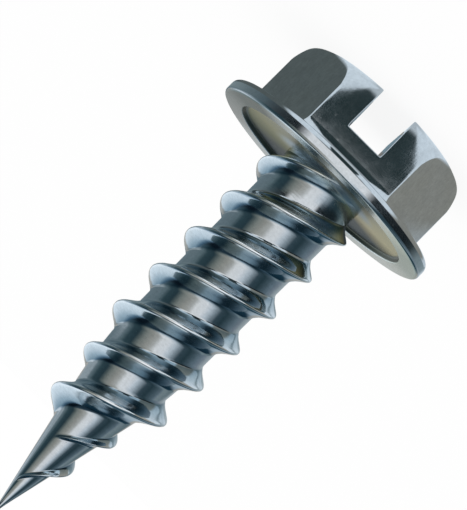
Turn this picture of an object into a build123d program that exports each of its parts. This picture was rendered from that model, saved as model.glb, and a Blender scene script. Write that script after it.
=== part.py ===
"""Self-tapping screw: slotted hex washer head, twin-start coarse thread, gimlet point.

The screw stands on the flat top of its head, point up.
Z = 0 is the flat top of the head and the shank runs up along +Z.
The screwdriver slot runs along Y, and two hex faces look along -Y and +Y.
All sizes are millimetres and degrees.
"""

from build123d import *
from math import cos, radians, sin, sqrt, tan
import os

# ---------------------------------------------------------------- driving sizes
# head
LENGTH_UNDER_HEAD = 19.05     # bearing ring to point, a 3/4 in screw
HEAD_HEIGHT = 4.05            # flat top of the head to the bearing ring
HEX_ACROSS_FLATS = 8.0        # takes an 8 mm or 5/16 in nut driver
HEX_CORNER_RADIUS = 0.15      # forged corners are never knife sharp
DOME_SIDE_RADIUS = 2.7        # slow curve that draws the hex corners in
DOME_EDGE_RADIUS = 0.63       # quick curve that turns into the flat top
DOME_SIDE_SWEEP = 23.2        # degrees turned by the slow curve
DOME_START_GAP = 0.012        # the slow curve begins this far outside the hex corners
CUT_MARGIN = 1.0              # the dome's cutter reaches this far past the head

# driver slot
SLOT_WIDTH = 1.78
SLOT_DEPTH = 2.1

# washer flange
FLANGE_DIA = 11.3
FLANGE_THICKNESS = 0.66
FLANGE_TOP_EDGE = 0.22        # rounding on the hex side of the rim
FLANGE_BEARING_EDGE = 0.13    # rounding on the bearing side of the rim
HEX_ROOT_FILLET = 0.42        # hex faces into the flange
ROUND_BULGE = 0.293           # each rim rounding is two cones that meet at the arc's middle
BEARING_RING_BORE = 9.2       # inside of the flat ring that seats on the work
RECESS_DEPTH = 0.2
RECESS_WALL_RUN = 0.1         # the step into the recess leans by this much

# shank
CORE_DIA = 3.74               # under the thread, where the point begins
CORE_SWELL = 0.26             # the core is this much thicker again at the head
POINT_ANGLE = 25.8            # whole angle of the point
POINT_BLEND_RADIUS = 8.0      # point cone into the straight shank
TIP_FLAT_DIA = 0.1            # the very end is blunt by a hair

# thread
THREAD_DIA = 5.06             # over the crests
THREAD_SPACING = 2.14         # crest to crest along the axis
STARTS = 2
CREST_WIDTH = 0.12
ROOT_WIDTH = 1.25             # width of one ridge where it leaves the core
FLANK_BEND_HEIGHT = 0.40      # share of the ridge height where the hollow flank bends
FLANK_BEND_WIDTH = 0.48       # share of the taper from root to crest that is left there
RIDGE_SINK = 0.28             # the ridge goes this deep into the core
JOIN_DEPTH = 0.1              # the core goes this far into the head
RIDGE_END_DEPTH = 0.25        # the ridges run on this far into the head
THREAD_PHASE = 180.0          # azimuth of the first ridge at the phase height
THREAD_PHASE_BELOW_TIP = 7.35
FIRST_START_BELOW_TIP = 1.45  # where the first ridge rises out of the point
SECOND_START_BELOW_TIP = 3.85
STATION_STEP = 45.0           # degrees between thread sections

# ridge height along each start: turns from its beginning, share of full height
FIRST_GROWTH = ((0.0, 0.03), (0.37, 0.57), (0.87, 1.10), (1.37, 1.25), (1.85, 1.05), (2.3, 1.0))
SECOND_GROWTH = ((0.0, 0.03), (0.29, 0.58), (0.78, 0.74), (1.26, 1.03), (1.70, 1.0))
WIDEST_SHARE = 1.05           # a ridge higher than full grows no wider than this
LAST_TURN_SHARE = 0.80        # the rolled thread is a little lower right at the head

# ---------------------------------------------------------------- worked out
TIP_Z = HEAD_HEIGHT + LENGTH_UNDER_HEAD
CORE_DIA_AT_HEAD = CORE_DIA + CORE_SWELL
FLANGE_R = FLANGE_DIA / 2
FLANGE_BACK_Z = HEAD_HEIGHT - FLANGE_THICKNESS
RECESS_Z = HEAD_HEIGHT - RECESS_DEPTH
RING_BORE_R = BEARING_RING_BORE / 2
HEX_CORNER_R = HEX_ACROSS_FLATS / sqrt(3)
HALF_POINT = radians(POINT_ANGLE / 2)
CONE_APEX_Z = TIP_Z + TIP_FLAT_DIA / 2 / tan(HALF_POINT)
CONE_FOOT_Z = CONE_APEX_Z - CORE_DIA / 2 / tan(HALF_POINT)
LEAD = THREAD_SPACING * STARTS
FULL_HEIGHT = (THREAD_DIA - CORE_DIA) / 2
THREAD_END_Z = RECESS_Z - RIDGE_END_DEPTH


def plain_core_radius(z):
    """Radius of the core at height z, as a cone straight onto the shank."""
    if z > CONE_FOOT_Z:
        return (CONE_APEX_Z - z) * tan(HALF_POINT)
    share = (CONE_FOOT_Z - z) / (CONE_FOOT_Z - HEAD_HEIGHT)
    return CORE_DIA / 2 + share * (CORE_DIA_AT_HEAD - CORE_DIA) / 2


def core_radius(z):
    """Radius of the core at height z, with the blend between cone and shank taken off."""
    run = POINT_BLEND_RADIUS * tan(HALF_POINT / 2)
    gap = abs(z - CONE_FOOT_Z)
    if gap >= run:
        return plain_core_radius(z)
    return plain_core_radius(z) - (run - gap) ** 2 / (2 * POINT_BLEND_RADIUS)


def share_at(growth, turns):
    """Ridge height share after so many turns, straight between the listed stations."""
    for (t0, s0), (t1, s1) in zip(growth, growth[1:]):
        if turns <= t1:
            part = (turns - t0) / (t1 - t0)
            return s0 + (s1 - s0) * part
    return growth[-1][1]


def ridge_share(growth, turns, turns_left):
    """Share of the full ridge height, a little lower again over the last turn at the head."""
    share = share_at(growth, turns)
    if turns_left < 1:
        share = share * (LAST_TURN_SHARE + (1 - LAST_TURN_SHARE) * turns_left)
    return share


def radial_plane(azimuth, z):
    """Plane through the axis: local X points outward, local Y points along +Z."""
    turn = radians(azimuth)
    return Plane(
        origin=(0, 0, z),
        x_dir=(cos(turn), sin(turn), 0),
        z_dir=(sin(turn), -cos(turn), 0),
    )


def section_points(root_r, share):
    """Half of one ridge section as (radius, half width): sunk foot, bend and crest."""
    width = min(share, WIDEST_SHARE)
    half_root = ROOT_WIDTH / 2
    half_crest = CREST_WIDTH / 2
    half_bend = half_crest + (half_root - half_crest) * FLANK_BEND_WIDTH
    spread = (half_root - half_bend) / (FLANK_BEND_HEIGHT * FULL_HEIGHT)
    return (
        (root_r - RIDGE_SINK, half_root * width + RIDGE_SINK * spread),
        (root_r + FLANK_BEND_HEIGHT * FULL_HEIGHT * share, half_bend * width),
        (root_r + FULL_HEIGHT * share, half_crest * width),
    )


def thread_ridge(phase, below_tip, growth):
    """Loft one start of the thread down from the point into the head."""
    first_z = TIP_Z - below_tip
    count = int((first_z - THREAD_END_Z) / LEAD * 360 / STATION_STEP) + 1
    with BuildPart() as ridge:
        for station in range(count + 1):
            turns = station * STATION_STEP / 360
            z = first_z - turns * LEAD
            azimuth = phase + 360 * (z - TIP_Z + THREAD_PHASE_BELOW_TIP) / LEAD
            turns_left = max((z - HEAD_HEIGHT) / LEAD, 0)
            half = section_points(core_radius(z), ridge_share(growth, turns, turns_left))
            lower = [(r, -w) for r, w in half]
            upper = [(r, w) for r, w in reversed(half)]
            with BuildSketch(radial_plane(azimuth, z)):
                with BuildLine():
                    Polyline(*lower, *upper, close=True)
                make_face()
        loft()
    return ridge.part


# ---------------------------------------------------------------- the screw
with BuildPart() as screw:
    # washer flange with its flat bearing ring and shallow recess
    with BuildSketch(Plane.XZ):
        with BuildLine():
            Polyline(
                (0, FLANGE_BACK_Z),
                (FLANGE_R - FLANGE_TOP_EDGE, FLANGE_BACK_Z),
                (FLANGE_R - FLANGE_TOP_EDGE * ROUND_BULGE, FLANGE_BACK_Z + FLANGE_TOP_EDGE * ROUND_BULGE),
                (FLANGE_R, FLANGE_BACK_Z + FLANGE_TOP_EDGE),
                (FLANGE_R, HEAD_HEIGHT - FLANGE_BEARING_EDGE),
                (FLANGE_R - FLANGE_BEARING_EDGE, HEAD_HEIGHT),
                (RING_BORE_R, HEAD_HEIGHT),
                (RING_BORE_R - RECESS_WALL_RUN, RECESS_Z),
                (0, RECESS_Z),
                close=True,
            )
        make_face()
    revolve(axis=Axis.Z)

    # hex drive, standing on the flat top of the head
    with BuildSketch(Plane.XY):
        RegularPolygon(radius=HEX_CORNER_R, side_count=6)
        fillet(vertices(), HEX_CORNER_RADIUS)
    extrude(amount=FLANGE_BACK_Z)
    hex_root = edges(Select.LAST).group_by(Axis.Z)[-1]
    fillet(hex_root, HEX_ROOT_FILLET)

    # dome that rounds the hex corners off toward the flat top
    side_rise = DOME_SIDE_RADIUS * sin(radians(DOME_SIDE_SWEEP))
    edge_rise = DOME_EDGE_RADIUS * (1 - sin(radians(DOME_SIDE_SWEEP)))
    with BuildSketch(Plane.XZ):
        with BuildLine():
            slow = JernArc(
                start=(HEX_CORNER_R + DOME_START_GAP, side_rise + edge_rise),
                tangent=(0, -1),
                radius=DOME_SIDE_RADIUS,
                arc_size=-DOME_SIDE_SWEEP,
            )
            quick = JernArc(
                start=slow @ 1,
                tangent=slow % 1,
                radius=DOME_EDGE_RADIUS,
                arc_size=DOME_SIDE_SWEEP - 90,
            )
            Polyline(
                quick @ 1,
                ((quick @ 1).X, -CUT_MARGIN),
                (FLANGE_R, -CUT_MARGIN),
                (FLANGE_R, side_rise + edge_rise),
                slow @ 0,
            )
        make_face()
    revolve(axis=Axis.Z, mode=Mode.SUBTRACT)

    # driver slot right across the head
    with BuildSketch(Plane.XY):
        Rectangle(SLOT_WIDTH, FLANGE_DIA)
    extrude(amount=SLOT_DEPTH, mode=Mode.SUBTRACT)

    # core of the shank and its point
    with BuildSketch(Plane.XZ):
        with BuildLine():
            Polyline(
                (0, TIP_Z),
                (0, RECESS_Z - JOIN_DEPTH),
                (CORE_DIA_AT_HEAD / 2, RECESS_Z - JOIN_DEPTH),
                (CORE_DIA / 2, CONE_FOOT_Z),
                (TIP_FLAT_DIA / 2, TIP_Z),
                close=True,
            )
        make_face()
        cone_foot = vertices().sort_by_distance((CORE_DIA / 2, CONE_FOOT_Z, 0))[0]
        fillet(cone_foot, POINT_BLEND_RADIUS)
    revolve(axis=Axis.Z)

    # the two thread ridges
    add(thread_ridge(THREAD_PHASE, FIRST_START_BELOW_TIP, FIRST_GROWTH))
    add(thread_ridge(THREAD_PHASE + 180, SECOND_START_BELOW_TIP, SECOND_GROWTH))

screw.part.label = "screw"
os.makedirs("parts", exist_ok=True)
export_step(screw.part, "parts/screw.step")
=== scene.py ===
# %% [markdown]
# # A self-tapping screw, dressed over its construction model
# The screw stands on the flat top of its slotted hex washer head, point up.
# The frame holds the solid as it was constructed, with plain edges. This
# notebook gives it the soft edges of forged and rolled steel, a bright zinc
# finish, a light tent and a camera, and never moves the solid itself.

# %% Load the frame
from math import acos, atan, atan2, ceil, cos, degrees, pi, radians, sin, sqrt, tan

import bmesh
import bpy
from mathutils import Matrix, Vector


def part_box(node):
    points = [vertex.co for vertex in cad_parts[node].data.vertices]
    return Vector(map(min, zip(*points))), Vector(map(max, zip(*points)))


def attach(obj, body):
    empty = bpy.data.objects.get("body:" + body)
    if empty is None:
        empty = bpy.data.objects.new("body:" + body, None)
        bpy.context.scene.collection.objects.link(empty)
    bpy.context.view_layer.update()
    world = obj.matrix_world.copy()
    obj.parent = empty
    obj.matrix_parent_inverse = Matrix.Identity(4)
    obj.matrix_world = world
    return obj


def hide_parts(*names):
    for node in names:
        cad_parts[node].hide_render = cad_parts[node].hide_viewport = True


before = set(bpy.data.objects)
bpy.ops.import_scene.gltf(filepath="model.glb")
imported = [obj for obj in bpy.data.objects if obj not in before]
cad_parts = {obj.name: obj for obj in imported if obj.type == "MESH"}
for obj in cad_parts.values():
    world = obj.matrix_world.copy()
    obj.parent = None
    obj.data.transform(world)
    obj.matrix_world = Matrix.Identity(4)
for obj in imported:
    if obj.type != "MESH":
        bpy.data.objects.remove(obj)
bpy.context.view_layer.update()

MM = 0.001
low_corner, high_corner = (Vector(corner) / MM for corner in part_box("screw"))
TIP_Z = high_corner.z
FLANGE_R = min(high_corner.x, high_corner.y, -low_corner.x, -low_corner.y)
print("screw box in mm:", [round(v, 3) for v in (*low_corner, *high_corner)])

# %% [markdown]
# ## Camera
# A small screw is pictured from close by with a long lens, from a little above
# the table, and the camera is rolled so that the screw lies slantwise in the
# frame. Turning the screw itself would do the same, but then it would no longer
# stand where the library expects it, so the roll belongs to the camera. It is a
# look-at turn followed by a turn about the line of sight.

# %% Camera
CAMERA_PLACE = Vector((0.46, -97.4, 19.25))
AIM_POINT = Vector((0.49, 0.0, 8.70))
VIEW_HEIGHT = 21.32
CAMERA_ROLL = radians(-135)

camera_data = bpy.data.cameras.new("camera")
camera = bpy.data.objects.new("camera", camera_data)
bpy.context.scene.collection.objects.link(camera)
line_of_sight = AIM_POINT - CAMERA_PLACE
look = line_of_sight.to_track_quat("-Z", "Y").to_matrix()
camera.location = CAMERA_PLACE * MM
camera.rotation_mode = "QUATERNION"
camera.rotation_quaternion = (look @ Matrix.Rotation(CAMERA_ROLL, 3, "Z")).to_quaternion()
camera_data.angle = 2 * atan(VIEW_HEIGHT / 2 / line_of_sight.length)
camera_data.clip_start = 1 * MM
camera_data.clip_end = 10
bpy.context.scene.camera = camera
bpy.context.scene.view_settings.view_transform = "Standard"
print("the lens covers", round(degrees(camera_data.angle), 2), "degrees")

# %% [markdown]
# ## Head
# The real head is struck cold in a die: a hexagon with softly broken edges,
# domed toward its flat top, on a washer flange with a rounded rim.
# One way to make it is to cut a hexagonal bar with a lathe-turned shape, but a
# boolean leaves ragged little faces along the curved edges where dome and flats
# meet. Here a tube is spun with one column of faces per direction, and each
# column is then bent to the head's outline in that direction. A line of the
# mesh runs along every edge that way, and all edges can be rounded evenly.

# %% Sizes of the head in millimetres
HEX_HALF = 4.0
HEX_CORNER_RADIUS = 0.15
DOME_SIDE_RADIUS = 2.7
DOME_EDGE_RADIUS = 0.63
DOME_SIDE_SWEEP = radians(23.2)
DOME_START_GAP = 0.012
HEAD_HEIGHT = 4.05
FLANGE_BACK = 3.39
FLANGE_TOP_EDGE = 0.22
FLANGE_BEARING_EDGE = 0.13
HEX_ROOT_FILLET = 0.42
RING_BORE_R = 4.6
RECESS_Z = 3.85
RECESS_WALL_RUN = 0.1
EDGE_SOFTNESS = 0.07
print("head:", 2 * HEX_HALF, "mm across the flats and", HEAD_HEIGHT, "mm high")

# %% [markdown]
# The dome is two arcs, a slow one that draws the hexagon's corners in and a
# quick one that turns into the flat top. A bevel on the top edge would have one
# radius all the way, while two arcs that share a tangent run on without a kink.
# Each flat of the hexagon cuts the dome off at some lean, and the two functions
# below go from a distance to a lean and from a lean to a point.

# %% Dome
side_centre = Vector((2 * HEX_HALF / sqrt(3) + DOME_START_GAP - DOME_SIDE_RADIUS,
                      DOME_SIDE_RADIUS * sin(DOME_SIDE_SWEEP)
                      + DOME_EDGE_RADIUS * (1 - sin(DOME_SIDE_SWEEP))))
radius_drop = DOME_SIDE_RADIUS - DOME_EDGE_RADIUS
edge_centre = side_centre + radius_drop * Vector((cos(DOME_SIDE_SWEEP), -sin(DOME_SIDE_SWEEP)))
print("flat top is", round(2 * edge_centre.x, 2), "mm across")


def dome_point(lean):
    """Point of the dome's outline where the surface leans so far from level."""
    if lean < pi / 2 - DOME_SIDE_SWEEP:
        return edge_centre + DOME_EDGE_RADIUS * Vector((sin(lean), -cos(lean)))
    return side_centre + DOME_SIDE_RADIUS * Vector((sin(lean), -cos(lean)))


def dome_lean(radius):
    """How far the dome leans where it is so far from the axis."""
    sine = (radius - edge_centre.x) / DOME_EDGE_RADIUS
    if sine < cos(DOME_SIDE_SWEEP):
        return pi / 2 - acos(sine)
    return pi / 2 - acos(min((radius - side_centre.x) / DOME_SIDE_RADIUS, 1))


# %% [markdown]
# The corners of the hexagon are not sharp, because steel does not flow all the
# way into the corners of a die. A circle with six sides could be bevelled for
# that, but the outline below has to know the size in every direction. So the
# hexagon is a formula: the distance from the axis to a flat, or near a corner to
# the little arc that rounds it.

# %% Hexagon
def hex_radius(away, half, corner_radius):
    """Distance from the axis to a rounded hexagon; away is the angle to its nearest corner."""
    centre = (half - corner_radius) / cos(radians(30))
    bend = atan2(corner_radius * sin(radians(30)), centre + corner_radius * cos(radians(30)))
    if away > bend:
        return half / cos(radians(30) - away)
    return centre * cos(away) + sqrt(corner_radius ** 2 - (centre * sin(away)) ** 2)


corner_width = 2 * hex_radius(0, HEX_HALF, HEX_CORNER_RADIUS)
print("across the rounded corners:", round(corner_width, 2), "mm")

# %% [markdown]
# The outline in one direction is a row of points: from the flat top over the
# dome, down the hexagon, through the fillet at its foot, round the rim of the
# flange and into the shallow recess that keeps the ring around it in touch with
# the sheet. Two helpers make its bends. One is a true arc. The other is a curve
# that takes the place of a corner, and fits between any two directions without
# a centre to work out.

# %% Bends of the outline
def soft_corner(before, corner, after, parts):
    """Points of a smooth bend that replaces a sharp corner."""
    steps = [n / parts for n in range(parts + 1)]
    return [before * (1 - t) ** 2 + corner * 2 * t * (1 - t) + after * t * t for t in steps]


def arc(centre, radius, start, end, parts):
    """Points of an arc, its angles in degrees from the outward direction toward the point."""
    steps = [radians(start + (end - start) * n / parts) for n in range(parts + 1)]
    return [centre + radius * Vector((cos(a), sin(a))) for a in steps]


print("a quarter bend in 4 steps has", len(arc(Vector((0, 0)), 1, 0, 90, 4)), "points")

# %% [markdown]
# The inner part of the outline is what the die strikes: flat top, dome, side and
# fillet. It depends on the direction, because the hexagon does. Still every
# direction gets the same number of points, so that they line up, and a point
# close beside each bend keeps the shading of the bend off the flats.

# %% Dome, side and fillet in one direction
MOST_SOFTNESS_SHARE = 0.4
DOME_STEPS = 9
EDGE_STEPS = 4
SIDE_SHARES = (0.04, 0.3, 0.65, 0.96)
FILLET_STEPS = 7


def hex_part(away):
    """Flat top, dome, flat side and fillet."""
    side = hex_radius(away, HEX_HALF, HEX_CORNER_RADIUS)
    soft = min(EDGE_SOFTNESS, MOST_SOFTNESS_SHARE * (side - edge_centre.x))
    lean_before = dome_lean(side - soft)
    edge = dome_point(dome_lean(side))
    points = [dome_point(lean_before * n / DOME_STEPS) for n in range(DOME_STEPS)]
    points += soft_corner(dome_point(lean_before), edge, edge + Vector((0, soft)), EDGE_STEPS)
    first = points[-1].y
    fillet_z = FLANGE_BACK - HEX_ROOT_FILLET
    points += [Vector((side, first + (fillet_z - first) * share)) for share in SIDE_SHARES]
    for n in range(FILLET_STEPS + 1):
        turn = radians(90 * n / FILLET_STEPS)
        out = HEX_ROOT_FILLET * (1 - cos(turn))
        reach = hex_radius(away, HEX_HALF + out, HEX_CORNER_RADIUS + out)
        points.append(Vector((reach, fillet_z + HEX_ROOT_FILLET * sin(turn))))
    return points


print("points from the flat top to the flange:", len(hex_part(0.0)))

# %% [markdown]
# The washer flange is round, so its part is the same in every direction. It
# could be a body of its own, turned as on a lathe, but then the fillet at the
# foot of the hexagon would have to be sewn to it. As the rest of the same row of
# points it needs no seam.

# %% Flange and the whole outline
RIM_STEPS = 8
BEARING_STEPS = 5
LIP_STEPS = 3
BESIDE_RIM = 0.02
BESIDE_BEARING = 0.03
BESIDE_LIP = 0.08
BESIDE_FOOT = 0.12
LIP_SOFTNESS = 0.04
FOOT_SOFTNESS = 0.08
RECESS_RINGS = (3.2, 2.0, 1.2)
BACK_SHARES = (0.12, 0.5, 0.88)


def flange_part():
    """Rim, bearing ring and recess, the same in every direction."""
    rim_turn = Vector((FLANGE_R - FLANGE_TOP_EDGE, FLANGE_BACK + FLANGE_TOP_EDGE))
    bearing_turn = Vector((FLANGE_R - FLANGE_BEARING_EDGE, HEAD_HEIGHT - FLANGE_BEARING_EDGE))
    lip = Vector((RING_BORE_R, HEAD_HEIGHT))
    foot = Vector((RING_BORE_R - RECESS_WALL_RUN, RECESS_Z))
    points = arc(rim_turn, FLANGE_TOP_EDGE, -90, 0, RIM_STEPS)
    points += [Vector((FLANGE_R, points[-1].y + BESIDE_RIM)),
               Vector((FLANGE_R, bearing_turn.y - BESIDE_RIM))]
    points += arc(bearing_turn, FLANGE_BEARING_EDGE, 0, 90, BEARING_STEPS)
    points += [Vector((bearing_turn.x - BESIDE_BEARING, HEAD_HEIGHT)),
               Vector((RING_BORE_R + BESIDE_LIP, HEAD_HEIGHT))]
    before_lip = lip + Vector((LIP_SOFTNESS, 0))
    after_foot = foot - Vector((FOOT_SOFTNESS, 0))
    points += soft_corner(before_lip, lip, lip.lerp(foot, 0.2), LIP_STEPS)
    points += soft_corner(foot.lerp(lip, 0.3), foot, after_foot, LIP_STEPS)
    return points + [Vector((r, RECESS_Z)) for r in (foot.x - BESIDE_FOOT, *RECESS_RINGS)]


def head_outline(away):
    """The head's outline as (distance from axis, height); away is the angle as before."""
    inner = hex_part(away)
    outer = flange_part()
    back = [Vector((inner[-1].x * (1 - t) + outer[0].x * t, FLANGE_BACK)) for t in BACK_SHARES]
    return inner + back + outer


print("points in an outline:", len(head_outline(0.0)))

# %% [markdown]
# The columns stand closer together at the hexagon's corners, where the surface
# turns quickly, and wide apart on the flats. The tube could be built face by
# face in a loop, but one spin of a straight row of vertices gives the same mesh,
# closed all round. Its heights are simply the numbers of the rings, until every
# vertex is moved to its real place.

# %% Spin the head and shape it
FROM_FACE = (0, 4, 8, 11.3, 15, 17.5, 20, 22, 24,
             25.5, 26.8, 27.8, 28.5, 28.95, 29.2, 29.47, 29.74)
WELD = 0.001


def open_edge_count(bm):
    return sum(edge.is_boundary for edge in bm.edges)


half_sector = [radians(a) for a in FROM_FACE]
sector = [-a for a in reversed(half_sector[1:])] + half_sector + [radians(30)]
columns = [radians(60 * side) + a for side in range(6) for a in sector]
ring_count = len(head_outline(0.0))

head = bmesh.new()
row = [head.verts.new((1, 0, n)) for n in range(ring_count)]
line = [head.edges.new(pair) for pair in zip(row, row[1:])]
bmesh.ops.spin(head, geom=row + line, axis=(0, 0, 1), cent=(0, 0, 0), angle=2 * pi,
               steps=len(columns), use_merge=True)
bmesh.ops.remove_doubles(head, verts=head.verts, dist=WELD)

outlines = {}
for vert in head.verts:
    column = round(atan2(vert.co.y, vert.co.x) / (2 * pi) * len(columns)) % len(columns)
    turn = columns[column] + radians(30)
    away = round(abs((turn + radians(30)) % radians(60) - radians(30)), 6)
    if away not in outlines:
        outlines[away] = head_outline(away)
    point = outlines[away][round(vert.co.z)]
    vert.co = (point.x * cos(turn), point.x * sin(turn), point.y)
open_edges = [edge for edge in head.edges if edge.is_boundary]
bmesh.ops.holes_fill(head, edges=open_edges, sides=0)
bmesh.ops.recalc_face_normals(head, faces=head.faces)
print("head:", len(head.faces), "faces, open edges", open_edge_count(head))

# %% [markdown]
# ## Driver slot
# The slot is sawn or struck straight across the head, with flat walls and a
# flat floor. Three cuts with a plane outline it on the skin of the head, and the
# skin between them is taken away. Three more cuts a tenth of a millimetre
# outside keep the shading of the soft edges off the flat faces. A boolean would
# do it too, but here the new edges are known one by one, which the bevel below
# needs.

# %% Cut the slot
SLOT_HALF = 0.89
SLOT_DEPTH = 2.1
SLOT_EDGE = 0.05
SNAP = 0.0005


def everything(bm):
    return bm.verts[:] + bm.edges[:] + bm.faces[:]


def cut(bm, place, normal):
    """Split the faces that a plane crosses."""
    bmesh.ops.bisect_plane(bm, geom=everything(bm), plane_co=place, plane_no=normal, dist=SNAP)


def in_slot(point):
    return abs(point.x) < SLOT_HALF and point.z < SLOT_DEPTH


for beside in (0, 2 * SLOT_EDGE):
    cut(head, (SLOT_HALF + beside, 0, 0), (1, 0, 0))
    cut(head, (-SLOT_HALF - beside, 0, 0), (1, 0, 0))
    cut(head, (0, 0, SLOT_DEPTH + beside), (0, 0, 1))
skin = [face for face in head.faces if in_slot(face.calc_center_median())]
bmesh.ops.delete(head, geom=skin, context="FACES")
loose = [edge for edge in head.edges if not edge.link_faces]
bmesh.ops.delete(head, geom=loose, context="EDGES")
print("faces taken out of the skin:", len(skin), "- open edges", open_edge_count(head))

# %% [markdown]
# What is open now is one winding loop over the head, and filled at once it would
# become a twisted sheet. So an edge is first drawn along each side of the floor.
# That leaves two flat walls and a flat floor, and each is closed with one face.

# %% Close the slot
ON_PLANE = 0.002


def on_wall(edge, side):
    return edge.is_boundary and all(abs(v.co.x - side * SLOT_HALF) < ON_PLANE for v in edge.verts)


sills = []
for side in (-1, 1):
    spots = [Vector((side * SLOT_HALF, end * HEX_HALF, SLOT_DEPTH)) for end in (-1, 1)]
    ends = [min(head.verts, key=lambda v: (v.co - spot).length) for spot in spots]
    sills += bmesh.ops.contextual_create(head, geom=ends)["edges"]
for side, sill in zip((-1, 1), sills):
    wall = [edge for edge in head.edges if on_wall(edge, side)] + [sill]
    bmesh.ops.contextual_create(head, geom=wall)
floor_edges = [edge for edge in head.edges if edge.is_boundary]
bmesh.ops.contextual_create(head, geom=floor_edges)
bmesh.ops.recalc_face_normals(head, faces=head.faces)
print("slot closed, open edges", open_edge_count(head))

# %% [markdown]
# Plating never leaves a razor edge. A bevel of a twentieth of a millimetre runs
# round the whole slot, and these thin strips catch the light as bright lines. A
# bevel modifier would soften the head's other edges once more, while this
# operator takes only the edges that it is given.

# %% Soften the slot's edges
def on_slot(point):
    """Whether a point lies on the walls or the floor of the slot."""
    outermost = abs(point.x) > SLOT_HALF - ON_PLANE or point.z > SLOT_DEPTH - ON_PLANE
    return in_slot(point * 0.999) and outermost


SHARP = radians(20)
slot_edges = [edge for edge in head.edges
              if edge.calc_face_angle(0) > SHARP and all(on_slot(v.co) for v in edge.verts)]
bmesh.ops.bevel(head, geom=slot_edges, offset=SLOT_EDGE, offset_type="OFFSET", segments=2,
                profile=0.5, affect="EDGES", clamp_overlap=True, material=-1)
print("head with slot:", len(head.faces), "faces, open edges", open_edge_count(head))

# %% [markdown]
# ## Shank and thread
# The thread is rolled between dies, which press the grooves and squeeze two
# ridges out of the wire, side by side. Both rise gently out of the gimlet point.
# First the core: a shank that swells a little toward the head, a cone for the
# point, and a soft blend between them. It could be a drawn curve, but as a
# formula it tells the ridges how far out they start at any height.

# %% Core
CORE_R = 1.87
CORE_R_AT_HEAD = 2.0
HALF_POINT = radians(12.9)
POINT_BLEND_RADIUS = 16.0
TIP_R = 0.05

cone_apex_z = TIP_Z + TIP_R / tan(HALF_POINT)
cone_foot_z = cone_apex_z - CORE_R / tan(HALF_POINT)


def core_radius(z):
    """Radius of the core, with a soft blend where the point begins."""
    if z > cone_foot_z:
        radius = max(cone_apex_z - z, 0) * tan(HALF_POINT)
    else:
        swell = CORE_R_AT_HEAD - CORE_R
        radius = CORE_R + swell * (cone_foot_z - z) / (cone_foot_z - HEAD_HEIGHT)
    run = POINT_BLEND_RADIUS * tan(HALF_POINT / 2)
    inside = max(run - abs(z - cone_foot_z), 0)
    return radius - inside ** 2 / (2 * POINT_BLEND_RADIUS)


print("the point begins", round(TIP_Z - cone_foot_z, 2), "mm below the tip")

# %% [markdown]
# A ridge grows from nothing to more than its full height within a turn and a
# half, and settles again, because the dies have more metal to squeeze where the
# point widens. One smooth formula would be shorter, but the growth is uneven and
# differs between the two, so a table of turns and heights says how much of each
# ridge is there.

# %% Growth of the two ridges
RIDGE_HEIGHT = 0.66
LEAD = 4.28
PHASE = radians(180)
PHASE_Z = TIP_Z - 7.35
START_Z = (TIP_Z - 1.45, TIP_Z - 3.85)
GROWTH = (((0.0, 0.0), (0.37, 0.57), (0.87, 1.10), (1.37, 1.25), (1.85, 1.05), (2.3, 1.0)),
          ((0.0, 0.0), (0.29, 0.58), (0.78, 0.74), (1.26, 1.03), (1.70, 1.0)))
LAST_TURN_SHARE = 0.80


def from_table(table, at):
    """Value from a table, with straight runs between its rows and level ends."""
    for (at_0, value_0), (at_1, value_1) in zip(table, table[1:]):
        if at <= at_1:
            return value_0 + (value_1 - value_0) * max(at - at_0, 0) / (at_1 - at_0)
    return table[-1][1]


def ridge_share(start, z):
    """Share of the full ridge height that one start has where its crest is at this height."""
    share = from_table(GROWTH[start], (START_Z[start] - z) / LEAD)
    turns_left = min(max((z - HEAD_HEIGHT) / LEAD, 0), 1)
    return share * (LAST_TURN_SHARE + (1 - LAST_TURN_SHARE) * turns_left)


print("first ridge one turn on:", round(ridge_share(0, START_Z[0] - LEAD), 2), "of full height")

# %% [markdown]
# Across a ridge the surface leaves the core in a hollow, climbs a flank that
# gets steeper, and closes in a narrow round crest. One lead, which is what the
# screw advances in a turn, holds both ridges and the bare core between them. Each
# row of it says which ridge it belongs to, where it is across that ridge and how
# high it stands. Rows stand close together where the surface bends, so that few
# of them are enough.

# %% Rows of one lead
CREST_HALF = 0.06
ROOT_HALF = 0.625
BEND_HEIGHT = 0.40
BEND_AT = (CREST_HALF + (ROOT_HALF - CREST_HALF) * 0.48) / ROOT_HALF
CREST_AT = CREST_HALF / ROOT_HALF

half_ridge = [(1.22, 0.0), (1.10, 0.008), (1.0, 0.035), (0.90, 0.085), (0.78, 0.175),
              (BEND_AT + 0.05, BEND_HEIGHT - 0.055), (BEND_AT - 0.05, BEND_HEIGHT + 0.07),
              (0.36, 0.62), (0.24, 0.79),
              (CREST_AT + 0.04, 0.93), (CREST_AT * 0.9, 0.975), (CREST_AT * 0.45, 0.997)]
ridge = [(-across, rise) for across, rise in half_ridge] + [(0.0, 1.0)] + half_ridge[::-1]
lead_rows = []
for start in (0, 1):
    lead_rows += [(start, across, rise) for across, rise in ridge]
    lead_rows.append((start, None, 0.0))
print("rows in one lead:", len(lead_rows))

# %% [markdown]
# The rows of one lead are spun through one turn while they climb by one lead,
# and that turn is copied up the shank. Spinning all turns at once gives the same
# mesh but takes much longer. The mesh follows the crests all the way, which a
# stack of level rings would not.

# %% Spin one turn and stack it
TURN_STEPS = 96
SHANK_SINK = 0.25
SHANK_END_Z = RECESS_Z - SHANK_SINK
turns = ceil((TIP_Z - SHANK_END_Z) / LEAD) + 2

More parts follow.
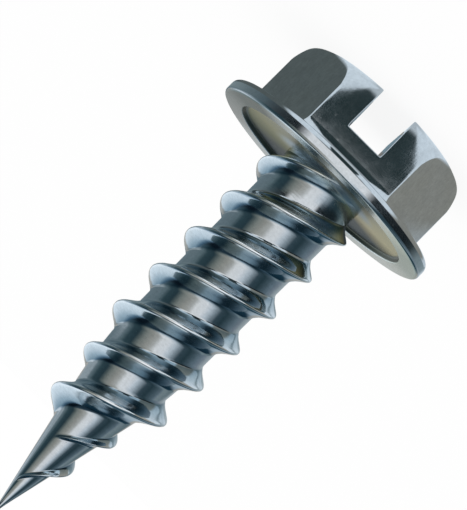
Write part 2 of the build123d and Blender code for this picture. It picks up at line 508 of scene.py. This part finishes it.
shank = bmesh.new()
row = [shank.verts.new((1, 0, LEAD * n / len(lead_rows))) for n in range(len(lead_rows) + 1)]
line = [shank.edges.new(pair) for pair in zip(row, row[1:])]
bmesh.ops.spin(shank, geom=row + line, axis=(0, 0, 1), cent=(0, 0, 0),
               dvec=(0, 0, LEAD / TURN_STEPS), angle=2 * pi, steps=TURN_STEPS)
one_turn = everything(shank)
for number in range(1, turns):
    copy = bmesh.ops.duplicate(shank, geom=one_turn)["geom"]
    copied_verts = [part for part in copy if isinstance(part, bmesh.types.BMVert)]
    bmesh.ops.translate(shank, verts=copied_verts, vec=(0, 0, LEAD * number))
bmesh.ops.remove_doubles(shank, verts=shank.verts, dist=WELD)
print("spun shank:", len(shank.faces), "faces")

# %% [markdown]
# Now every vertex finds its row from its height and its turn, and moves to the
# core's radius plus the height its ridge has there. A low ridge near the point is
# also slimmer. Two numbers are kept with each vertex for the finish's painted
# shade and highlight: how high it stands on the ridge, and which side of it it
# is on.

# %% Shape the shank
WIDEST_SHARE = 1.05
SLIMMEST_SHARE = 0.25
FULL_TINT_SHARE = 0.4
base_z = PHASE_Z - LEAD * ceil((PHASE_Z - SHANK_END_Z) / LEAD + 1.5)
ridge_rise = shank.verts.layers.float.new("ridge_rise")
tip_side = shank.verts.layers.float.new("tip_side")

for vert in shank.verts:
    turn = atan2(vert.co.y, vert.co.x) % (2 * pi)
    number = round((vert.co.z / LEAD - turn / (2 * pi)) * len(lead_rows))
    lead_number, row_number = divmod(number, len(lead_rows))
    start, across, rise = lead_rows[row_number]
    crest_z = base_z + LEAD * (lead_number + turn / (2 * pi) + start / 2)
    share = ridge_share(start, crest_z)
    if across is None:
        z = crest_z + LEAD / 4
    else:
        z = crest_z + across * ROOT_HALF * min(max(share, SLIMMEST_SHARE), WIDEST_SHARE)
        vert[tip_side] = 0.5 + 0.5 * (across > 0) - 0.5 * (across < 0)
    vert[ridge_rise] = rise * min(share / FULL_TINT_SHARE, 1)
    radius = core_radius(z) + RIDGE_HEIGHT * rise * share
    vert.co = (radius * cos(turn + PHASE), radius * sin(turn + PHASE), z)

# %% [markdown]
# The stack is longer than the shank, so both ends are cut level and closed: one
# a quarter of a millimetre inside the head, the other at the tip, where the
# cone is still a tenth across, because a rolled point is never a true needle.

# %% Ends of the shank
SLICE_SNAP = 0.0002
ON_SLICE = 0.001
TIP_TRIM = 0.001


def slice_off(bm, height, keep_below):
    """Cut the shank level at a height and close the cut."""
    bmesh.ops.bisect_plane(bm, geom=everything(bm), plane_co=(0, 0, height), plane_no=(0, 0, 1),
                           dist=SLICE_SNAP, clear_outer=keep_below, clear_inner=not keep_below)
    rim = [edge for edge in bm.edges
           if edge.is_boundary and all(abs(v.co.z - height) < ON_SLICE for v in edge.verts)]
    bmesh.ops.holes_fill(bm, edges=rim, sides=0)


slice_off(shank, SHANK_END_Z, False)
slice_off(shank, TIP_Z - TIP_TRIM, True)
bmesh.ops.recalc_face_normals(shank, faces=shank.faces)
print("shank:", len(shank.faces), "faces, open edges", open_edge_count(shank))

# %% [markdown]
# ## One piece of steel
# Head and shank are one blank of wire, so they become one mesh, in metres. A
# boolean could weld the two skins, but the shank simply ends inside the head,
# where nobody looks, and both skins stay closed and even. Smooth shading alone
# would smear light over the flats, so the normals are weighted by the area of
# the faces: flats stay flat and only bends look round.

# %% Join head and shank
shank_mesh = bpy.data.meshes.new("shank")
shank.to_mesh(shank_mesh)
head.verts.layers.float.new("ridge_rise")
head.verts.layers.float.new("tip_side")
head.from_mesh(shank_mesh)
bmesh.ops.scale(head, vec=(MM, MM, MM), verts=head.verts)
for face in head.faces:
    face.smooth = True
steel_mesh = bpy.data.meshes.new("plated_steel")
head.to_mesh(steel_mesh)
head.free()
shank.free()
bpy.data.meshes.remove(shank_mesh)
screw = bpy.data.objects.new("plated_steel", steel_mesh)
bpy.context.scene.collection.objects.link(screw)
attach(screw, "root")
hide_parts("screw")
shading = screw.modifiers.new("even shading", "WEIGHTED_NORMAL")
shading.weight = 50
print("screw:", len(steel_mesh.polygons), "faces")

# %% [markdown]
# ## Shader sums as formulas
# A finish is a graph of nodes. Written as plain formulas it is easier to read,
# so a small class stands for one output socket: adding or multiplying two of
# them adds the Math node that does it, and one method adds any other node. A new
# colour ramp already has two stops, so that method only adds the further ones.

# %% A socket that takes part in formulas
class Wire:
    """One output socket of a shader graph."""

    def __init__(self, tree, socket=None):
        self.tree = tree
        self.socket = socket

    def node(self, kind, settings=None, sockets=None, out=0):
        """Add a node: its settings first, then a value or a link for each socket."""
        node = self.tree.nodes.new(kind)
        for name, value in (settings or {}).items():
            if name == "stops":
                ramp = node.color_ramp.elements
                for place, colour in value[2:]:
                    ramp.new(place)
                for element, (place, colour) in zip(ramp, value):
                    element.position = place
                    element.color = (*colour, 1)
            else:
                setattr(node, name, value)
        for name, value in (sockets or {}).items():
            if isinstance(value, Wire):
                self.tree.links.new(value.socket, node.inputs[name])
            else:
                node.inputs[name].default_value = value
        return Wire(self.tree, node.outputs[out] if node.outputs else None)

    def maths(self, operation, *values):
        return self.node("ShaderNodeMath", {"operation": operation}, dict(enumerate(values)))

    def __add__(self, other):
        return self.maths("ADD", self, other)

    def __radd__(self, other):
        return self.maths("ADD", other, self)

    def __sub__(self, other):
        return self.maths("SUBTRACT", self, other)

    def __rsub__(self, other):
        return self.maths("SUBTRACT", other, self)

    def __mul__(self, other):
        return self.maths("MULTIPLY", self, other)

    def __rmul__(self, other):
        return self.maths("MULTIPLY", other, self)

    def __truediv__(self, other):
        return self.maths("DIVIDE", self, other)

    def __rtruediv__(self, other):
        return self.maths("DIVIDE", other, self)

    def __abs__(self):
        return self.maths("ABSOLUTE", self)

    def step(self, low, high):
        """0 below low, 1 above high, and a smooth rise between them."""
        return self.node("ShaderNodeMapRange", {"interpolation_type": "SMOOTHSTEP"},
                         {"Value": self, "From Min": low, "From Max": high})

    def ramp(self, stops):
        """A colour for each value, from a list of (value, colour)."""
        return self.node("ShaderNodeValToRGB", {"stops": stops}, {"Fac": self})

    def blend(self, colour, amount, blend_type="MIX"):
        """This colour, turned into another one by an amount from 0 to 1."""
        if not isinstance(colour, Wire):
            colour = (*colour, 1)
        return self.node("ShaderNodeMix", {"data_type": "RGBA", "blend_type": blend_type},
                         {"Factor": amount, 6: self, 7: colour}, out=2)


print("formulas can be written with", Wire.__name__)

# %% [markdown]
# A new material comes with a shader and an output already in place. Both are
# cleared away, so that its graph holds what the formulas put there and nothing
# else.

# %% Empty materials
def new_material(name):
    """An empty material and the wire that starts its graph."""
    material = bpy.data.materials.new(name)
    material.use_nodes = True
    material.node_tree.nodes.clear()
    return material, Wire(material.node_tree)


def end_material(surface):
    """Let this shader be what the surface shows."""
    surface.node("ShaderNodeOutputMaterial", None, {"Surface": surface})


print("material helpers ready")

# %% [markdown]
# Finish and cards both vary with the place. Besides the coordinates they need
# the direction from the screw's axis, as on a compass: 0 degrees toward the
# camera and growing to the picture's right. A colour ramp runs from 0 to 1, so
# the compass is laid on it with the camera's side in the middle.

# %% Places and compass
def position(graph):
    """The three Object coordinates, in millimetres."""
    place = graph.node("ShaderNodeTexCoord", out="Object")
    return [place.node("ShaderNodeSeparateXYZ", None, {0: place}, out=axis) / MM
            for axis in range(3)]


def at(azimuth):
    """Place on a ramp for a compass angle in degrees."""
    return azimuth / 360 + 0.5


def compass(x, y):
    """Compass angle of a place, as a place on a ramp."""
    return x.maths("ARCTAN2", x * -1, y * -1) * (0.5 / pi) + 0.5


def degrees_aside(bearing):
    """How many degrees a place on a ramp is away from the camera's side."""
    return abs(bearing - 0.5) * 360


def distance(x, y):
    """Distance from the axis."""
    return x.maths("SQRT", x * x + y * y)


print("the camera's side is at", at(0), "on a ramp")

# %% [markdown]
# ## Zinc plating
# The plating is a few micrometres of zinc with a clear passivation. It is a cool
# light metal. Its colour here is not the same all over: a painted highlight
# makes it brightest along the crests, painted shade makes it darker and bluer
# down the flanks, and the recess is dull, with painted yellowish reflections.
#
# Zones come first. Each is a number from 0 to 1 worked out from the position on
# the screw. A material for each zone would work too, but it would end in a hard
# line wherever two of them meet.

# %% Zinc: zones
HEX_FADE = 0.4
SHANK_FADE = 0.3

steel, graph = new_material("zinc_plated_steel")
x, y, z = position(graph)
bearing = compass(x, y)
axis_reach = distance(x, y)
rise = graph.node("ShaderNodeAttribute", {"attribute_name": "ridge_rise"}, out="Fac")
side = graph.node("ShaderNodeAttribute", {"attribute_name": "tip_side"}, out="Fac")
on_hex = 1 - z.step(FLANGE_BACK - HEX_FADE, FLANGE_BACK)
on_shank = z.step(HEAD_HEIGHT + 0.02, HEAD_HEIGHT + SHANK_FADE)
on_ring = z.step(HEAD_HEIGHT - 0.06, HEAD_HEIGHT - 0.01) * (1 - on_shank)
in_recess = z.step(RECESS_Z - 0.12, RECESS_Z - 0.06)
in_recess = in_recess * (1 - z.step(HEAD_HEIGHT - 0.03, HEAD_HEIGHT + 0.02))
in_recess = in_recess * (1 - axis_reach.step(RING_BORE_R - 0.02, RING_BORE_R + 0.03))
print("zones: hexagon, shank, bearing ring, recess")

# %% [markdown]
# The colour follows the height on a ridge, from the bare core through painted
# shade at the foot of the flank to a painted highlight on the crest, with darker
# painted shade on the side toward the tip. Distance from the axis would not do as
# a measure, because the core itself grows, so the two numbers kept with the
# vertices are used.

# %% Zinc: painted shade and highlight on the ridges
ZINC = (0.62, 0.65, 0.675)
PAINTED_CREST_HIGHLIGHT = (0.88, 0.90, 0.92)
# Painted shade darkens the foot of each flank, more on the side toward the tip, and a painted
# highlight lightens the crest.
TIP_SIDE_PAINTED_SHADE_AND_HIGHLIGHT = [(0.0, ZINC), (0.015, ZINC), (0.07, (0.17, 0.26, 0.32)),
                  (0.30, (0.32, 0.41, 0.47)), (0.60, (0.58, 0.64, 0.68)),
                  (0.86, (0.70, 0.75, 0.78)), (0.95, PAINTED_CREST_HIGHLIGHT), (1.0, PAINTED_CREST_HIGHLIGHT)]
HEAD_SIDE_PAINTED_SHADE_AND_HIGHLIGHT = [(0.0, ZINC), (0.015, ZINC), (0.07, (0.25, 0.34, 0.40)),
                   (0.30, (0.42, 0.51, 0.56)), (0.60, (0.58, 0.65, 0.69)),
                   (0.95, PAINTED_CREST_HIGHLIGHT), (1.0, PAINTED_CREST_HIGHLIGHT)]
tint_and_painted_light = rise.ramp(HEAD_SIDE_PAINTED_SHADE_AND_HIGHLIGHT).blend(rise.ramp(TIP_SIDE_PAINTED_SHADE_AND_HIGHLIGHT), side)
print("tints from", ZINC, "to", PAINTED_CREST_HIGHLIGHT)

# %% [markdown]
# Ring and recess change their colour with the direction from the middle. These
# are painted reflections, light and warm where they would mirror white and dark
# where they would mirror dark cards, with painted shade at the back of the
# recess. A painted image would give the same, but two ramps round the compass
# are shorter and can be read. The recess is dull. Beside the shank it carries a
# painted bluish reflection in front, and a line of painted shade runs along its
# outer edge.

# %% Zinc: painted light and shade under the head
NECK_PAINTED_REFLECTION = (0.66, 0.73, 0.78)
EDGE_PAINTED_SHADE = (0.12, 0.125, 0.10)
RECESS_BACK_PAINTED_SHADE = (0.02, 0.025, 0.025)
# Painted shade at the back of the recess and painted warm reflections at its sides, then painted
# light and dark reflections round the ring.
RECESS_PAINTED_LIGHT = [(0.0, RECESS_BACK_PAINTED_SHADE), (at(-128), (0.03, 0.035, 0.03)), (at(-104), (0.19, 0.18, 0.065)),
                (at(-78), (0.39, 0.345, 0.17)), (at(-40), (0.50, 0.465, 0.355)),
                (at(30), (0.53, 0.485, 0.375)), (at(60), (0.66, 0.56, 0.33)),
                (at(92), (0.70, 0.57, 0.31)), (at(107), (0.37, 0.285, 0.13)),
                (at(124), (0.03, 0.035, 0.03)), (1.0, RECESS_BACK_PAINTED_SHADE)]
RING_PAINTED_REFLECTIONS = [(0.0, (0.90, 0.93, 0.93)), (at(-136), (0.84, 0.87, 0.87)),
              (at(-120), (0.47, 0.48, 0.47)), (at(-90), (0.26, 0.29, 0.28)),
              (at(-70), (0.06, 0.10, 0.09)), (at(-48), (0.06, 0.09, 0.07)),
              (at(-28), (0.80, 0.84, 0.83)), (at(30), (0.90, 0.90, 0.83)),
              (at(45), (0.74, 0.78, 0.63)), (at(62), (0.48, 0.54, 0.44)),
              (at(88), (0.52, 0.57, 0.49)), (at(104), (0.75, 0.76, 0.68)),
              (at(120), (0.90, 0.90, 0.84)), (1.0, (0.90, 0.93, 0.93))]

# A painted bluish reflection beside the shank in front, and painted shade along the recess's outer
# edge.
in_front = 1 - degrees_aside(bearing).step(50, 95)
neck_reflection_share = (1 - axis_reach.step(2.4, 3.1)) * in_front
edge_shade_share = axis_reach.step(RING_BORE_R - 0.28, RING_BORE_R - 0.12)
recess_shade_and_reflection = bearing.ramp(RECESS_PAINTED_LIGHT).blend(NECK_PAINTED_REFLECTION, neck_reflection_share).blend(EDGE_PAINTED_SHADE, edge_shade_share)
tint_and_painted_light = tint_and_painted_light.blend(recess_shade_and_reflection, in_recess).blend(bearing.ramp(RING_PAINTED_REFLECTIONS), on_ring)
print("tones round the recess:", len(RECESS_PAINTED_LIGHT), "and round the ring:", len(RING_PAINTED_REFLECTIONS))

# %% [markdown]
# Noise breaks up the evenness. Fine grain is in the plating itself. Draw lines
# run down the hexagon, because the blank was pushed through the die that way;
# roll lines run round the shank, where the thread dies passed; and the bearing
# ring has rings of its own from being pressed and turned. Each is plain cloud
# noise, stretched by giving it coordinates on different scales. The passivation
# adds soft warm clouds of its own.

# %% Zinc: grain, lines and pits
def clouds(x, y, z, detail=3.0, roughness=0.55):
    """Soft noise from 0 to 1 at the given coordinates."""
    spot = x.node("ShaderNodeCombineXYZ", None, {0: x, 1: y, 2: z})
    return x.node("ShaderNodeTexNoise", None,
                  {"Vector": spot, "Scale": 1.0, "Detail": detail, "Roughness": roughness})


grain = clouds(x * 7.0, y * 7.0, z * 7.0, 4.0, 0.65)
mottle = clouds(x * 2.2, y * 2.2, z * 2.2, 3.0, 0.6)
draw_lines = clouds(x * 9.0, y * 9.0, z * 0.9, 3.0, 0.5)
roll_lines = clouds(x * 0.5, y * 0.5, z * 16.0, 3.0, 0.6)
ring_lines = clouds(axis_reach * 24.0, x * 0.4, y * 0.4, 3.0, 0.6)
pits = clouds(x * 3.1 + 7.0, y * 3.1, z * 3.1, 5.0, 0.7).step(0.66, 0.74)
warm_clouds = clouds(x * 0.55, y * 0.55, z * 0.55, 2.0).step(0.45, 0.68)
print("marks: grain, mottle, draw lines, roll lines, ring lines, pits")

# %% [markdown]
# Every mark makes the metal a little lighter and darker than its tint. The
# hexagon is the most mottled, since the blank's own skin is left on it.

# %% Zinc: colour
GRAIN_LIGHT = 0.34
MOTTLE_LIGHT = 0.16
MOTTLE_MORE_ON_HEX = 0.22
DRAW_LIGHT = 0.12
ROLL_LIGHT = 0.16
RING_LIGHT = 0.25
PIT_DARKNESS = 0.25
WARM_CLOUD = (1.0, 0.98, 0.93)
WARM_SHARE = 0.3

light = 1.0 + (grain - 0.5) * GRAIN_LIGHT
light = light + (mottle - 0.5) * (MOTTLE_LIGHT + on_hex * MOTTLE_MORE_ON_HEX)
light = light + (draw_lines - 0.5) * on_hex * DRAW_LIGHT
light = light + (roll_lines - 0.5) * on_shank * ROLL_LIGHT
light = (light + (ring_lines - 0.5) * on_ring * RING_LIGHT) * (1 - pits * PIT_DARKNESS)
tint_and_painted_light = tint_and_painted_light.blend(WARM_CLOUD, warm_clouds * WARM_SHARE, "MULTIPLY")
colour = tint_and_painted_light.node("ShaderNodeVectorMath", {"operation": "SCALE"}, {0: tint_and_painted_light, "Scale": light})
print("warm clouds multiply the tint by", WARM_CLOUD)

# %% [markdown]
# The same marks change the roughness a little and stand out by a micrometre or
# two. On a mirror that is plenty: more relief would turn it into foil. The
# recess and the ring are duller than the rest, because nothing rubs on them, and
# the pits are shallow on the hexagon, which the die has ironed.

# %% Zinc: roughness and relief
ROUGHNESS = 0.085
SMOOTHEST = 0.05
MOTTLE_DULLNESS = 0.06
PIT_DULLNESS = 0.12
RECESS_DULLNESS = 0.28
RING_DULLNESS = 0.15
RELIEF = 0.0018
GRAIN_HEIGHT = 0.22
GRAIN_MORE_ON_HEX = 0.12
DRAW_HEIGHT = 0.25
ROLL_HEIGHT = 0.5
RING_HEIGHT = 0.5
PIT_DEPTH = 0.6
PIT_LESS_ON_HEX = 0.45

roughness = ROUGHNESS + (mottle - 0.35) * MOTTLE_DULLNESS + pits * PIT_DULLNESS
roughness = roughness + in_recess * RECESS_DULLNESS + on_ring * RING_DULLNESS
roughness = roughness.maths("MAXIMUM", roughness, SMOOTHEST)
relief = grain * (GRAIN_HEIGHT + on_hex * GRAIN_MORE_ON_HEX) + draw_lines * on_hex * DRAW_HEIGHT
relief = relief + roll_lines * on_shank * ROLL_HEIGHT + ring_lines * on_ring * RING_HEIGHT
relief = relief - pits * (PIT_DEPTH - on_hex * PIT_LESS_ON_HEX)
normal = relief.node("ShaderNodeBump", None,
                     {"Strength": 1.0, "Distance": RELIEF * MM, "Height": relief})
end_material(graph.node("ShaderNodeBsdfPrincipled", None,
                        {"Base Color": colour, "Metallic": 1.0, "Roughness": roughness,
                         "Normal": normal}))
steel_mesh.materials.append(steel)
print("zinc: roughness about", ROUGHNESS, "and relief of", RELIEF * 1000, "micrometres")

# %% [markdown]
# ## Table
# The screw stands on a plain white table. A white that is only painted turns
# grey where the light falls off, so the camera sees mostly a steady glow of
# white and a share of the paint, which keeps a faint shadow. The glow is only
# there for the camera and for mirrors. Soft light gets the paint alone, so the
# glow lights nothing.

# %% Table
def stage_object(name, bm, material):
    """Turn a bmesh into a piece of the studio."""
    mesh = bpy.data.meshes.new(name)
    bm.to_mesh(mesh)
    bm.free()
    mesh.materials.append(material)
    thing = bpy.data.objects.new(name, mesh)
    bpy.context.scene.collection.objects.link(thing)
    return thing


TABLE_HALF = 3.0
TABLE_GLOW = 0.9
PAINT = (0.93, 0.93, 0.93, 1)

table_white, graph = new_material("table_white")
camera_ray = graph.node("ShaderNodeLightPath", out="Is Camera Ray")
glossy_ray = graph.node("ShaderNodeLightPath", out="Is Glossy Ray")
clear_ray = graph.node("ShaderNodeLightPath", out="Is Transmission Ray")
seen = camera_ray.maths("MAXIMUM", camera_ray, glossy_ray.maths("MAXIMUM", glossy_ray, clear_ray))
paint = graph.node("ShaderNodeBsdfDiffuse", None, {"Color": PAINT})
glow = graph.node("ShaderNodeEmission", None, {"Color": (1, 1, 1, 1), "Strength": 1.0})
end_material(graph.node("ShaderNodeMixShader", None, {0: seen * TABLE_GLOW, 1: paint, 2: glow}))
table = bmesh.new()
bmesh.ops.create_grid(table, x_segments=1, y_segments=1, size=TABLE_HALF)
stage_object("table", table, table_white)
print("table", 2 * TABLE_HALF, "m wide")

# %% [markdown]
# ## Light tent
# Bright metal shows its surroundings, not its own colour. Small metal parts are
# therefore pictured in a tent of white paper with black and grey cards hung
# in it: the white gives the bright bands, the black gives their crisp dark
# edges. Here the tent is a large sphere that only shows in reflections, and its
# cards are colours round the compass. White hangs a little right of the middle,
# warm grey left of it, and dark cards on both sides. Lower cards, higher cards
# and cards at the back each have a ramp of their own.

# %% Cards round the tent
BLACK = (0.010, 0.016, 0.020)
NAVY = (0.010, 0.018, 0.028)
DEEP = (0.02, 0.06, 0.09)
TWILIGHT = (0.05, 0.085, 0.11)
DUSK = (0.025, 0.052, 0.066)
DARK_TEAL = (0.036, 0.072, 0.088)
SLATE = (0.13, 0.19, 0.215)
GREY_BLUE = (0.16, 0.22, 0.25)
BLUE_GREY = (0.21, 0.27, 0.29)
LIGHT_SLATE = (0.26, 0.33, 0.36)
STEEL_BLUE = (0.20, 0.32, 0.43)
WARM = (0.37, 0.375, 0.345)
PALE = (0.52, 0.53, 0.51)
BACK = (0.484, 0.478, 0.452)
BACK_BLUE = (0.36, 0.43, 0.47)
SILVER = (0.80, 0.90, 0.98)
BRIGHT = (0.96, 0.98, 1.0)

LOW_CARDS = [(0.0, GREY_BLUE), (at(-116), GREY_BLUE), (at(-98), SLATE), (at(-84), DARK_TEAL),
             (at(-64), DUSK), (at(-55), (0.105, 0.138, 0.138)), (at(-44), (0.25, 0.275, 0.255)),
             (at(-28), WARM), (at(-14), PALE), (at(-4), (0.90, 0.92, 0.93)),
             (at(14), (0.90, 0.93, 0.96)), (at(27), (0.66, 0.74, 0.81)),
             (at(39), (0.31, 0.38, 0.43)), (at(52), (0.045, 0.078, 0.100)), (at(70), DUSK),
             (at(88), (0.072, 0.115, 0.142)), (at(105), (0.145, 0.205, 0.25)),
             (at(122), (0.21, 0.26, 0.31)), (at(138), (0.34, 0.40, 0.43)),
             (at(156), (0.40, 0.46, 0.49))]
HIGH_CARDS = [(0.0, (0.3, 0.36, 0.4)), (at(-168), SILVER), (at(-128), SILVER),
              (at(-114), STEEL_BLUE), (at(-100), NAVY), (at(-70), NAVY), (at(-45), TWILIGHT),
              (at(60), TWILIGHT), (at(88), NAVY), (at(98), DEEP), (at(150), DEEP),
              (at(160), (0.4, 0.48, 0.54)), (at(172), (0.5, 0.6, 0.68))]
BACK_CARDS = [(0.0, BACK), (at(-160), BACK), (at(-148), BACK_BLUE), (at(-100), BACK_BLUE),
              (at(100), LIGHT_SLATE), (at(148), SLATE), (at(160), BACK)]
print("cards:", len(LOW_CARDS), "low,", len(HIGH_CARDS), "high,", len(BACK_CARDS), "at the back")

# %% [markdown]
# The low cards reach higher in front of the screw than behind it, where they
# end close above the table and the high ones begin. The cards at the back stand
# a few degrees above the table. They are what the ring and the recess under the
# head show, because those face up and are seen at a very flat angle.

# %% Light tent
def reflections_only(thing):
    """Let a card show in polished metal and nowhere else."""
    thing.visible_camera = False
    thing.visible_diffuse = False
    thing.visible_shadow = False
    thing.visible_transmission = False
    thing.visible_volume_scatter = False


TENT_R = 400
HIGH_FROM = 46
HIGH_FROM_BEHIND = 12
FADE = 18
FADE_BEHIND = 5

tent_glow, graph = new_material("tent")
x, y, z = position(graph)
bearing = compass(x, y)
elevation = z.maths("ARCTAN2", z, distance(x, y)) * (180 / pi)
aside = degrees_aside(bearing)
behind = aside.step(95, 130)
at_back = aside.step(100, 112) * elevation.step(2, 5)
low = bearing.ramp(LOW_CARDS).blend(bearing.ramp(BACK_CARDS), at_back)
above = elevation - (HIGH_FROM - behind * (HIGH_FROM - HIGH_FROM_BEHIND))
sky = low.blend(bearing.ramp(HIGH_CARDS), above.step(0.0, FADE - behind * (FADE - FADE_BEHIND)))
end_material(graph.node("ShaderNodeEmission", None, {"Color": sky, "Strength": 1.0}))
tent = bmesh.new()
bmesh.ops.create_uvsphere(tent, u_segments=48, v_segments=24, radius=TENT_R * MM)
reflections_only(stage_object("light_tent", tent, tent_glow))
print("tent", 2 * TENT_R, "mm across")

# %% [markdown]
# The screw stands on its head, close to the table, so the faces of the head show
# the table right in front of them. Grey and black paper lies there in rings. The
# innermost ring lights the dome and the fillet, the next one gives each face of
# the hexagon its own grey with light strips between them for the corners, and a
# third gives the rim of the flange its bright middle and black ends.

# %% Cards on the table
FACE_DARK = (0.028, 0.046, 0.050)
LEFT_GREY = (0.112, 0.136, 0.136)
RIGHT_GREY = (0.295, 0.30, 0.275)
FAR_GREY = (0.2, 0.2, 0.19)
FAR_SHADE = (0.05, 0.07, 0.08)
RIM_BLUE = (0.19, 0.28, 0.33)
FOOT_LIGHT = (0.62, 0.69, 0.74)
RIM_SHADE = (0.11, 0.155, 0.175)
STREAK = (0.60, 0.69, 0.76)
STREAKS = [(at(122), STREAK), (at(139), STREAK), (at(143), SLATE), (at(147), STREAK),
           (at(158), STREAK)]

UNDER_CARDS = [(0.0, RIM_BLUE), (at(-125), RIM_BLUE), (at(-105), LEFT_GREY), (at(-60), LEFT_GREY),
               (at(-47), SILVER), (at(-24), SILVER), (at(-16), FOOT_LIGHT), (at(16), FOOT_LIGHT),
               (at(24), SILVER), (at(45), SILVER), (at(58), RIGHT_GREY), (at(110), RIGHT_GREY),
               (at(125), RIM_BLUE)]
NEAR_CARDS = [(0.0, FAR_SHADE), (at(-144), FAR_SHADE), (at(-130), LEFT_GREY), (at(-58), LEFT_GREY),
              (at(-49), SILVER), (at(-30), SILVER), (at(-18), FACE_DARK), (at(18), FACE_DARK),
              (at(30), SILVER), (at(47), SILVER), (at(56), RIGHT_GREY), (at(112), RIGHT_GREY),
              *STREAKS, (at(165), FAR_GREY)]
RIM_CARDS = [(0.0, BLUE_GREY), (at(-128), BLUE_GREY), (at(-88), RIM_SHADE),
             (at(-68), (0.05, 0.065, 0.073)), (at(-50), BLACK), (at(-43), BLACK),
             (at(-31), BRIGHT), (at(28), BRIGHT), (at(37), BLACK), (at(84), BLACK),
             (at(96), (0.03, 0.045, 0.05)), (at(112), BLUE_GREY), (at(140), LIGHT_SLATE),
             (at(156), STREAK), (at(165), BLUE_GREY)]
print("rings of paper:", len(UNDER_CARDS), len(NEAR_CARDS), "and", len(RIM_CARDS), "colours")

# %% [markdown]
# In front of the head the dark paper is a wedge, narrow at the head and wider
# away from it, with light on both sides. The front face shows it as a dark field
# that narrows toward the flat top, so that the two corners there are light.
# Beyond the third ring the tent's low cards go on over the table.

# %% Table cards in place
WEDGE_HALF = 1.0
WEDGE_TAPER = 0.19
CARD_LIFT = 0.01

card_glow, graph = new_material("table_card")
x, y, z = position(graph)
bearing = compass(x, y)
reach = distance(x, y)
ground = bearing.ramp(UNDER_CARDS).blend(bearing.ramp(NEAR_CARDS), reach.step(5.6, 6.8))
beside_wedge = (abs(x) + (y + HEX_HALF) * WEDGE_TAPER - WEDGE_HALF).step(-0.03, 0.06)
front = 1 - degrees_aside(bearing).step(32, 38)
lit = beside_wedge * front * reach.step(4.2, 4.6) * (1 - reach.step(13.5, 15.5))
ground = ground.blend(SILVER, lit)
ground = ground.blend(bearing.ramp(RIM_CARDS), reach.step(21, 24))
ground = ground.blend(bearing.ramp(LOW_CARDS), reach.step(34, 42))
end_material(graph.node("ShaderNodeEmission", None, {"Color": ground, "Strength": 1.0}))
card = bmesh.new()
bmesh.ops.create_circle(card, cap_ends=True, segments=64, radius=TENT_R * MM)
bmesh.ops.translate(card, verts=card.verts, vec=(0, 0, CARD_LIFT * MM))
reflections_only(stage_object("table_card", card, card_glow))
print("table cards out to", TENT_R, "mm")

# %% [markdown]
# ## Light
# Even white light from all sides, as in the tent, is all the table needs. It
# also is the pure white behind the screw. A lamp would throw a hard shadow and
# put a spot of light on every bend of the metal, so there is none.

# %% Light
world = bpy.data.worlds.new("world")
bpy.context.scene.world = world
world.use_nodes = True
background = world.node_tree.nodes["Background"]
background.inputs["Color"].default_value = (1, 1, 1, 1)
background.inputs["Strength"].default_value = 1.0
print("white light from all round")
